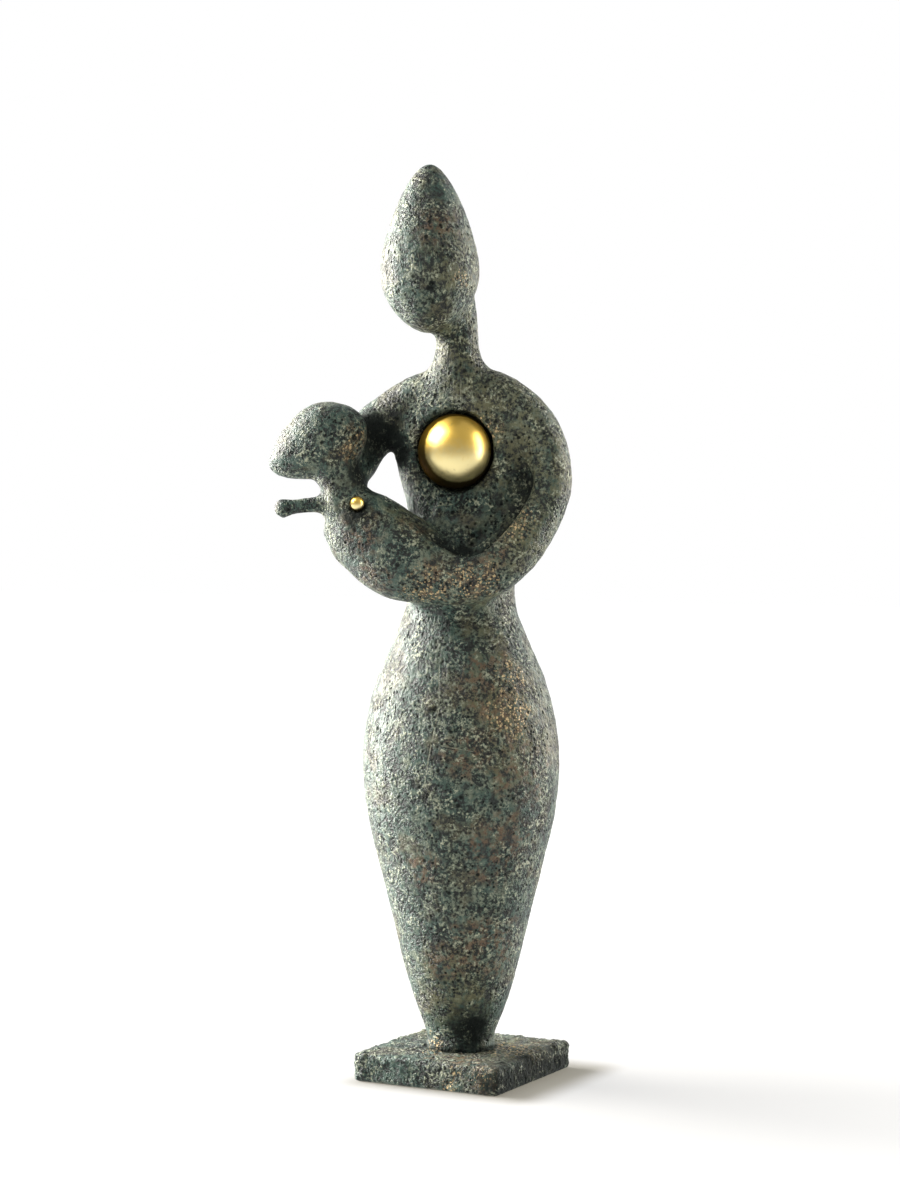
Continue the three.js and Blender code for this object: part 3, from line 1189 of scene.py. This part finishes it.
def soft_light(name, direction, aim, distance, size, power, opening, tint):
    """A soft rectangular light that looks at the aim from a direction."""
    lamp = bpy.data.lights.new(name, "AREA")
    lamp.shape = "RECTANGLE"
    lamp.size, lamp.size_y = size
    lamp.energy = power
    lamp.color = tint
    lamp.spread = math.radians(opening)
    toward = Vector(direction).normalized()
    turn = toward.to_track_quat("Z", "Y").to_matrix().to_4x4()
    placed(name, lamp).matrix_world = Matrix.Translation(aim + toward * distance) @ turn


def studio_world(name, behind, front_level):
    """White for the eye. As light it is white behind the figure and dim in front."""
    world = bpy.data.worlds.new(name)
    world.use_nodes = True
    tree = world.node_tree
    tree.nodes.clear()
    place = add(tree, "ShaderNodeTexCoord").outputs["Generated"]
    facing = vector_maths(tree, "DOT_PRODUCT", place, behind)
    level = spread(tree, facing, 0.0, 0.8, front_level, 1.0)
    room = add(tree, "ShaderNodeBackground", {"Color": (1, 1, 1, 1), "Strength": level})
    seen = add(tree, "ShaderNodeBackground", {"Color": (1, 1, 1, 1), "Strength": 1.0})
    eye = add(tree, "ShaderNodeLightPath").outputs["Is Camera Ray"]
    both = add(
        tree, "ShaderNodeMixShader",
        {0: eye, 1: room.outputs[0], 2: seen.outputs[0]},
    )
    add(tree, "ShaderNodeOutputWorld", {"Surface": both.outputs[0]})
    return world


class STATUETTE_OT_stage(Operator):
    """Lay the floor and set the light and the camera"""

    bl_idname = "statuette.stage"
    bl_label = "Stage"
    bl_options = {"REGISTER", "UNDO"}

    def execute(self, context):
        stage = context.scene.statuette_stage
        half_side = 4.0
        form = bmesh.new()
        bmesh.ops.create_grid(form, x_segments=8, y_segments=8, size=half_side)
        bmesh.ops.translate(form, vec=(0, 0, FLOOR_HEIGHT), verts=form.verts)
        mesh = closed(form, bpy.data.meshes.new("floor"))
        mesh.materials.append(plain_floor("Pale floor", stage))
        placed("floor", mesh)

        across = Matrix.Rotation(stage.azimuth, 3, "Z") @ Vector((1, 0, 0))
        back = Vector((
            math.sin(stage.azimuth) * math.cos(stage.elevation),
            -math.cos(stage.azimuth) * math.cos(stage.elevation),
            math.sin(stage.elevation),
        ))
        up = back.cross(across)
        aim = Vector(stage.aim)
        lens = bpy.data.cameras.new("camera")
        lens.lens = stage.lens
        camera = placed("camera", lens)
        turn = back.to_track_quat("Z", "Y").to_matrix().to_4x4()
        camera.matrix_world = Matrix.Translation(aim + back * stage.distance) @ turn
        context.scene.camera = camera

        # Each light: how far right, up and toward the camera it lies from what it looks at,
        # what it looks at, then its distance, its size, its watts and its opening in degrees.
        view = Matrix((across, up, back)).transposed()
        low_aim = aim - 0.14 * up
        high_aim = aim + 0.05 * up
        half_window = stage.window / 2
        half_glint = stage.glint / 2
        for name, direction, *rest in (
            ("key light", (-0.82, 0.36, -0.39), low_aim, 0.9, (0.6, 0.8), stage.key, 180),
            ("rim light", (0.87, 0.12, -0.47), high_aim, 0.8, (0.4, 0.5), stage.rim, 60),
            ("left window", (-0.66, 0.68, 0.30), aim, 0.8, (0.5, 0.5), stage.window, 180),
            ("right window", (0.91, 0.12, 0.38), aim, 0.8, (0.25, 0.7), half_window, 180),
            ("left glint", (-0.71, 0.70, 0.10), aim, 0.8, (0.62, 0.5), stage.glint, 180),
            ("right glint", (0.98, 0.2, 0.06), aim, 0.8, (0.34, 0.9), half_glint, 180),
        ):
            soft_light(name, view @ Vector(direction), *rest, stage.warmth)
        context.scene.world = studio_world("Studio", -back, stage.sky)
        context.scene.view_settings.view_transform = "Standard"
        context.scene.view_settings.look = "None"
        return {"FINISHED"}


class STATUETTE_PT_sidebar(Panel):
    """The statuette's pieces and settings"""

    bl_label = "Mother and Child"
    bl_idname = "STATUETTE_PT_sidebar"
    bl_space_type = "VIEW_3D"
    bl_region_type = "UI"
    bl_category = "Statuette"

    def draw(self, context):
        layout = self.layout
        for operator in OPERATORS:
            layout.operator(operator.bl_idname)
        for settings in SETTINGS:
            box = layout.box()
            for name in SETTINGS[settings].__annotations__:
                box.prop(getattr(context.scene, settings), name)


OPERATORS = (
    STATUETTE_OT_stage,
    STATUETTE_OT_figure,
    STATUETTE_OT_plate,
    STATUETTE_OT_spheres,
)
SETTINGS = {
    "statuette_casting": CastingSettings,
    "statuette_patina": PatinaSettings,
    "statuette_brass": BrassSettings,
    "statuette_stage": StageSettings,
}
CLASSES = (*SETTINGS.values(), *OPERATORS, STATUETTE_PT_sidebar)


def register():
    for kind in CLASSES:
        bpy.utils.register_class(kind)
    for name, kind in SETTINGS.items():
        setattr(bpy.types.Scene, name, PointerProperty(type=kind))


def unregister():
    for name in SETTINGS:
        delattr(bpy.types.Scene, name)
    for kind in reversed(CLASSES):
        bpy.utils.unregister_class(kind)


def main():
    register()
    bpy.ops.statuette.stage()
    bpy.ops.statuette.figure()
    bpy.ops.statuette.plate()
    bpy.ops.statuette.spheres()


if __name__ == "__main__":
    main()
